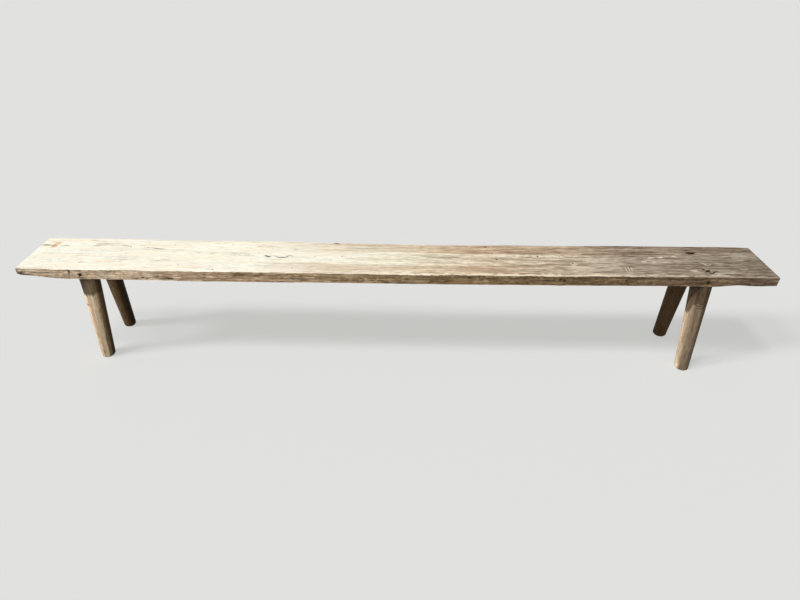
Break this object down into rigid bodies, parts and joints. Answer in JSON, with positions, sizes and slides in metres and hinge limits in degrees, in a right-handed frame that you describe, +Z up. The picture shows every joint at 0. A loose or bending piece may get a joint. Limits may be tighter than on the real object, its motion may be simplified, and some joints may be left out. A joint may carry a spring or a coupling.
{
  "type": "long bench",
  "caption": "Long narrow bench: a hand-hewn wooden plank on splayed round legs, with wedged tenons through the seat and pegs through its edges.",
  "frame": {"origin": "on the floor, under the middle of the bench", "axes": "+X along the bench to its right end, +Y from the front edge to the back edge, +Z up"},
  "size_m": [2.93, 0.2906, 0.44],
  "materials": {
    "plank_wood": "sun-bleached, weathered, unfinished",
    "leg_wood": "shaved by hand, unfinished, matt",
    "wedge_wood": "split, unfinished",
    "peg_wood": "dark, unfinished"
  },
  "bodies": {
    "root": {"seat_plank": "plank_wood", "leg_front_left": "leg_wood", "leg_front_right": "leg_wood", "leg_back_left": "leg_wood", "leg_back_right": "leg_wood", "wedge_front_left": "wedge_wood", "wedge_front_right": "wedge_wood", "wedge_back_left": "wedge_wood", "wedge_back_right": "wedge_wood", "peg_front_left": "peg_wood", "peg_front_right": "peg_wood", "peg_back_left": "peg_wood", "peg_back_right": "peg_wood"}
  },
  "joints": []
}
